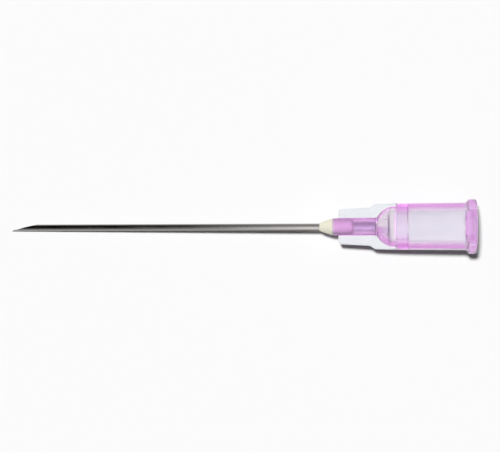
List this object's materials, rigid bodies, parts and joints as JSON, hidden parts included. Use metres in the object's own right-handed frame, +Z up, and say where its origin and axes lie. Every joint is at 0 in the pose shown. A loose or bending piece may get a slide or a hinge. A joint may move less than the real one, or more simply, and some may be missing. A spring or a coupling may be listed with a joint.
{
  "type": "hypodermic needle",
  "caption": "Straight steel needle with a ground bevel point, bonded into a clear tinted hub with a tapered socket and locking lugs for a syringe.",
  "frame": {"origin": "on the table, below the centre of the box round the lying needle", "axes": "+X from the point towards the open end of the hub, along the table; +Z up; +Y the side that the bevel faces"},
  "size_m": [0.0578, 0.0068, 0.0076],
  "materials": {
    "hub_plastic": "clear moulded plastic with a pink violet tint",
    "needle_steel": "drawn and polished stainless steel",
    "adhesive": "cured cream adhesive"
  },
  "bodies": {
    "root": {"hub": "hub_plastic", "cannula": "needle_steel", "adhesive": "adhesive"}
  },
  "joints": []
}
